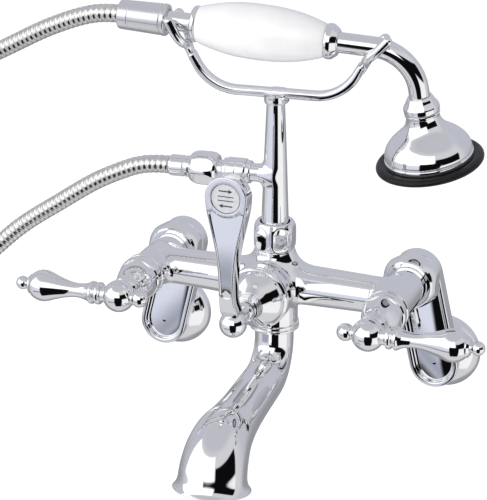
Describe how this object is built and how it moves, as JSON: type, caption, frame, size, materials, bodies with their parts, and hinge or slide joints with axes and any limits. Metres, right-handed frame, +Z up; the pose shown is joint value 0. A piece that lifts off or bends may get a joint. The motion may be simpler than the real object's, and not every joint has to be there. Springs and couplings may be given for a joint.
{
  "type": "wall mounted bath faucet",
  "caption": "Wall mounted bath faucet with swing arms, lever handles, a top diverter lever, a curved spout and a cradle that holds a telephone-style hand shower on a metal hose.",
  "frame": {"origin": "midpoint between the two threaded wall inlets, on the plane of the wall", "axes": "+X to the right as seen from the room, +Y into the wall, +Z up"},
  "size_m": [0.6101, 0.2153, 0.6274],
  "materials": {
    "chrome": "polished",
    "brass": "machined",
    "rubber": "satin",
    "porcelain": "glazed",
    "hose_steel": "bright",
    "satin_chrome": "satin",
    "ceramic": "ground"
  },
  "bodies": {
    "valve_body": {"valve_body": "chrome", "left_bonnet": "chrome", "right_bonnet": "chrome", "left_cartridge": "brass", "right_cartridge": "brass", "cartridge_seals": "rubber", "left_union_nut": "chrome", "right_union_nut": "chrome", "union_washers": "rubber", "diverter_bonnet": "chrome", "diverter_gland_nut": "chrome", "spout": "chrome", "spout_washer": "rubber", "riser_column": "chrome", "riser_nut": "chrome", "riser_washer": "rubber", "tee_union": "chrome", "hose_nut": "chrome", "hose_ferrule": "chrome", "hose_washer": "rubber", "cradle": "chrome", "cradle_screw": "hose_steel", "hose": "hose_steel"},
    "left_arm": {"left_arm": "chrome", "left_wall_flange": "chrome", "arm_seal_left": "rubber"},
    "right_arm": {"right_arm": "chrome", "right_wall_flange": "chrome", "arm_seal_right": "rubber"},
    "left_handle": {"left_handle_hub": "chrome", "left_lever": "chrome", "left_lock_ball": "chrome", "left_spindle": "brass", "left_ceramic_disc": "ceramic"},
    "right_handle": {"right_handle_hub": "chrome", "right_lever": "chrome", "right_lock_ball": "chrome", "right_spindle": "brass", "right_ceramic_disc": "ceramic"},
    "diverter": {"diverter_stem": "brass", "diverter_plug": "brass", "diverter_lever": "chrome", "diverter_plate": "satin_chrome", "diverter_lever_screw": "hose_steel", "diverter_seals": "rubber"},
    "handset": {"handset_grip": "porcelain", "handset_rear_ring": "chrome", "handset_front_collar": "chrome", "handset_neck": "chrome", "handset_gooseneck": "chrome", "head_nut": "chrome", "shower_head": "chrome", "head_band": "chrome", "spray_plate": "satin_chrome", "head_bumper": "rubber", "hose_sleeve": "satin_chrome", "sleeve_washer": "rubber"}
  },
  "joints": [
    {"name": "left_arm_swing", "type": "hinge", "parent": "valve_body", "child": "left_arm", "pos_m": [-0.089, -0.072, 0.0655], "axis": [0, 1, 0], "range_deg": [-60, 78]},
    {"name": "right_arm_swing", "type": "hinge", "parent": "valve_body", "child": "right_arm", "pos_m": [0.089, -0.072, 0.0655], "axis": [0, -1, 0], "range_deg": [-60, 78]},
    {"name": "left_handle_turn", "type": "hinge", "parent": "valve_body", "child": "left_handle", "pos_m": [-0.089, -0.072, 0.0655], "axis": [0, -1, 0], "range_deg": [0, 90]},
    {"name": "right_handle_turn", "type": "hinge", "parent": "valve_body", "child": "right_handle", "pos_m": [0.089, -0.072, 0.0655], "axis": [0, 1, 0], "range_deg": [0, 90]},
    {"name": "diverter_turn", "type": "hinge", "parent": "valve_body", "child": "diverter", "pos_m": [0, -0.072, 0.0655], "axis": [0, -1, 0], "range_deg": [-90, 90]},
    {"name": "handset_lift", "type": "slide", "parent": "valve_body", "child": "handset", "axis": [0, 0, 1], "range_m": [0, 0.06]}
  ]
}
